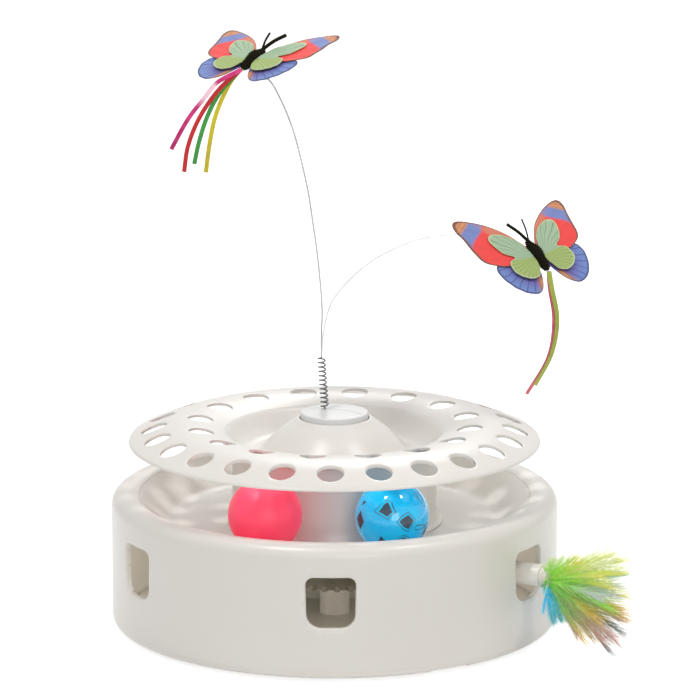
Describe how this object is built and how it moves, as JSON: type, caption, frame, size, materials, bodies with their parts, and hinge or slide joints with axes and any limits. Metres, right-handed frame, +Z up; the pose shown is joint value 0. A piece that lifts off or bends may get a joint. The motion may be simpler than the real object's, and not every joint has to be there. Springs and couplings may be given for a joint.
{
  "type": "automatic cat toy",
  "caption": "Round battery toy with balls in a channel under a perforated disc, a feather that pokes out of windows, and butterflies on a turning spring.",
  "frame": {"origin": "on the toy's turning axis at floor level, 1.6 mm below the round pad under the base tray", "axes": "+Z up along the turning axis, -Y towards the front of the picture, +X to its right"},
  "size_m": [0.2828, 0.24, 0.3217],
  "materials": {
    "warm_white_plastic": "fine satin moulding",
    "cap_white_plastic": "smooth moulding",
    "foot_rubber": "matte rubber",
    "spring_steel": "drawn steel wire",
    "wand_steel": "bright thin wire",
    "gear_nylon": "natural nylon",
    "motor_can": "plated can",
    "board_green": "solder mask",
    "battery_sleeve": "printed sleeve",
    "switch_black": "matte knob",
    "ball_pink": "matte moulding",
    "ball_blue": "glossy tinted shell",
    "bell_brass": "small bell",
    "chenille_dark": "fluffy stem",
    "forewing_film": "printed cloth film",
    "hindwing_film": "printed cloth film",
    "inner_wing_film": "printed cloth film",
    "magenta_film": "foil strip",
    "red_film": "foil strip",
    "green_film": "foil strip",
    "yellow_film": "foil strip",
    "lime_film": "foil strip",
    "feather_barbs": "dyed feather",
    "plug_plastic": "small plug"
  },
  "bodies": {
    "base": {"base_tray": "warm_white_plastic", "outer_housing": "warm_white_plastic", "ball_track": "warm_white_plastic", "tower": "warm_white_plastic", "perforated_disc": "warm_white_plastic", "rubber_foot_1": "foot_rubber", "rubber_foot_2": "foot_rubber", "rubber_foot_3": "foot_rubber", "rubber_foot_4": "foot_rubber", "housing_screw_1": "spring_steel", "housing_screw_2": "spring_steel", "housing_screw_3": "spring_steel", "battery_1": "battery_sleeve", "battery_2": "battery_sleeve", "battery_3": "battery_sleeve", "circuit_board": "board_green", "feather_motor": "motor_can", "rotor_motor": "motor_can", "sun_gear": "gear_nylon"},
    "battery_door": {"battery_door": "warm_white_plastic"},
    "power_switch": {"power_switch": "switch_black"},
    "pink_ball": {"pink_ball": "ball_pink"},
    "blue_ball": {"blue_ball_shell_top": "ball_blue", "blue_ball_shell_bottom": "ball_blue", "ball_bell": "bell_brass"},
    "rotor": {"rotor_cap": "cap_white_plastic", "rotor_shaft": "spring_steel", "rotor_gear": "gear_nylon"},
    "rotor_pinion": {"rotor_pinion": "gear_nylon"},
    "feather_pinion": {"feather_pinion": "gear_nylon"},
    "spring": {"spring_coil": "spring_steel"},
    "tall_wand": {"tall_wand_wire": "wand_steel", "tall_butterfly_body": "chenille_dark", "tall_magenta_streamer": "magenta_film", "tall_red_streamer": "red_film", "tall_green_streamer": "green_film", "tall_yellow_streamer": "yellow_film"},
    "low_wand": {"low_wand_wire": "wand_steel", "low_butterfly_body": "chenille_dark", "low_pink_streamer": "magenta_film", "low_lime_streamer": "lime_film"},
    "crank": {"crank_gear": "gear_nylon"},
    "idler": {"idler_gear": "gear_nylon"},
    "feather_arm": {"feather_arm": "warm_white_plastic", "feather_plug": "plug_plastic", "feather_tuft": "feather_barbs"},
    "tall_left_wing": {"tall_left_forewing": "forewing_film", "tall_left_hindwing": "hindwing_film", "tall_left_inner_wing": "inner_wing_film"},
    "tall_right_wing": {"tall_right_forewing": "forewing_film", "tall_right_hindwing": "hindwing_film", "tall_right_inner_wing": "inner_wing_film"},
    "low_left_wing": {"low_left_forewing": "forewing_film", "low_left_hindwing": "hindwing_film", "low_left_inner_wing": "inner_wing_film"},
    "low_right_wing": {"low_right_forewing": "forewing_film", "low_right_hindwing": "hindwing_film", "low_right_inner_wing": "inner_wing_film"}
  },
  "joints": [
    {"name": "rotor_spin", "type": "hinge", "parent": "base", "child": "rotor", "pos_m": [0, 0, 0.11], "axis": [0, 0, 1], "continuous": true},
    {"name": "rotor_pinion_spin", "type": "hinge", "parent": "base", "child": "rotor_pinion", "pos_m": [0, 0.018, 0.086], "axis": [0, 0, 1], "continuous": true},
    {"name": "spring_sway", "type": "hinge", "parent": "rotor", "child": "spring", "pos_m": [-0.0052, 0.005, 0.11635], "axis": [1, 0, 0], "range_deg": [-12, 12], "stiffness_Nm_per_rad": 0.3, "deforming": ["spring_coil"]},
    {"name": "tall_wand_sway", "type": "hinge", "parent": "spring", "child": "tall_wand", "pos_m": [-0.007, 0.005, 0.14495], "axis": [0, 1, 0], "range_deg": [-20, 10], "stiffness_Nm_per_rad": 0.3},
    {"name": "low_wand_sway", "type": "hinge", "parent": "spring", "child": "low_wand", "pos_m": [-0.007, 0.005, 0.14495], "axis": [0, 1, 0], "range_deg": [-25, 4], "stiffness_Nm_per_rad": 0.3},
    {"name": "tall_left_wing_flap", "type": "hinge", "parent": "tall_wand", "child": "tall_left_wing", "pos_m": [-0.04612, 0.00242, 0.30664], "axis": [0.5424, 0.7734, 0.328], "range_deg": [-15, 20], "stiffness_Nm_per_rad": 0.02},
    {"name": "tall_right_wing_flap", "type": "hinge", "parent": "tall_wand", "child": "tall_right_wing", "pos_m": [-0.04068, -0.00162, 0.30716], "axis": [0.5424, 0.7734, 0.328], "range_deg": [-20, 15], "stiffness_Nm_per_rad": 0.02},
    {"name": "low_left_wing_flap", "type": "hinge", "parent": "low_wand", "child": "low_left_wing", "pos_m": [0.10594, -0.00228, 0.20081], "axis": [-0.4526, 0.6041, 0.6559], "range_deg": [-4, 20], "stiffness_Nm_per_rad": 0.02},
    {"name": "low_right_wing_flap", "type": "hinge", "parent": "low_wand", "child": "low_right_wing", "pos_m": [0.11146, 0.00168, 0.20098], "axis": [-0.4526, 0.6041, 0.6559], "range_deg": [-20, 15], "stiffness_Nm_per_rad": 0.02},
    {"name": "crank_spin", "type": "hinge", "parent": "base", "child": "crank", "pos_m": [0, 0, 0.0275], "axis": [0, 0, 1], "continuous": true},
    {"name": "feather_pinion_spin", "type": "hinge", "parent": "base", "child": "feather_pinion", "pos_m": [-0.04548, 0.01655, 0.0275], "axis": [0, 0, 1], "continuous": true},
    {"name": "idler_spin", "type": "hinge", "parent": "crank", "child": "idler", "pos_m": [0.0134, -0.00799, 0.0315], "axis": [0, 0, 1], "continuous": true},
    {"name": "feather_arm_spin", "type": "hinge", "parent": "crank", "child": "feather_arm", "pos_m": [0.02577, -0.01536, 0.043], "axis": [0, 0, 1], "continuous": true, "deforming": ["feather_tuft"]},
    {"name": "pink_ball_roll", "type": "hinge", "parent": "base", "child": "pink_ball", "pos_m": [0, 0, 0.0771], "axis": [0, 0, 1], "range_deg": [-135, 10]},
    {"name": "blue_ball_roll", "type": "hinge", "parent": "base", "child": "blue_ball", "pos_m": [0, 0, 0.0771], "axis": [0, 0, 1], "range_deg": [-10, 135]},
    {"name": "battery_door_swing", "type": "hinge", "parent": "base", "child": "battery_door", "pos_m": [0, 0.0276, 0.002], "axis": [-1, 0, 0], "range_deg": [0, 85]},
    {"name": "power_switch_slide", "type": "slide", "parent": "base", "child": "power_switch", "axis": [0.8572, 0.515, 0], "range_m": [0, 0.0035]}
  ],
  "couplings": [
    {"joint": "rotor_pinion_spin", "follows": "rotor_spin", "ratio": -2},
    {"joint": "feather_pinion_spin", "follows": "crank_spin", "ratio": -2.6667},
    {"joint": "idler_spin", "follows": "crank_spin", "ratio": 0.85714},
    {"joint": "feather_arm_spin", "follows": "crank_spin", "ratio": -1.2}
  ]
}
